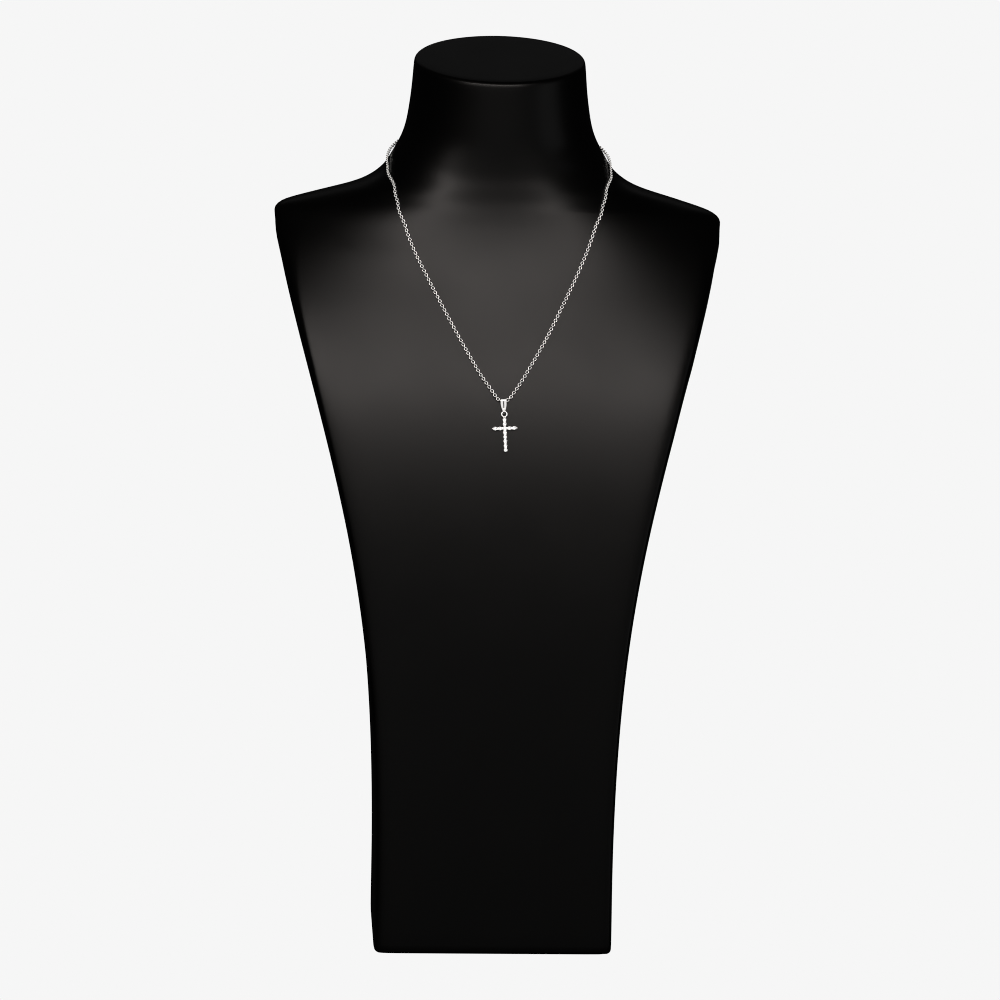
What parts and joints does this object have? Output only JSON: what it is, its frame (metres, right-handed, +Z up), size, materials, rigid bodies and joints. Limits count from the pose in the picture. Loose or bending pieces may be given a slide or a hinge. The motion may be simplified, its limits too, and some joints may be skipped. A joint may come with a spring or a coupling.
{
  "type": "cross pendant necklace on a neck bust",
  "caption": "Small cross pendant set with clear round stones, hung by a tapered bail on a fine chain round a tall black neck bust.",
  "frame": {"origin": "middle of the footprint, on the surface that the bust stands on", "axes": "+Z up, -Y the way the chest and the pendant face, +X at a viewer's right hand"},
  "size_m": [0.2312, 0.1398, 0.4611],
  "materials": {
    "bust_covering": "satin black",
    "chain_metal": "polished bright silver",
    "pendant_metal": "polished bright silver",
    "clear_stone": "polished clear brilliant"
  },
  "bodies": {
    "root": {"neck_bust": "bust_covering", "chain": "chain_metal", "clasp": "chain_metal", "bail": "pendant_metal", "cross": "pendant_metal", "stone_01": "clear_stone", "stone_02": "clear_stone", "stone_03": "clear_stone", "stone_04": "clear_stone", "stone_05": "clear_stone", "stone_06": "clear_stone", "stone_07": "clear_stone", "stone_08": "clear_stone", "stone_09": "clear_stone", "stone_10": "clear_stone", "stone_11": "clear_stone", "stone_12": "clear_stone"}
  },
  "joints": []
}
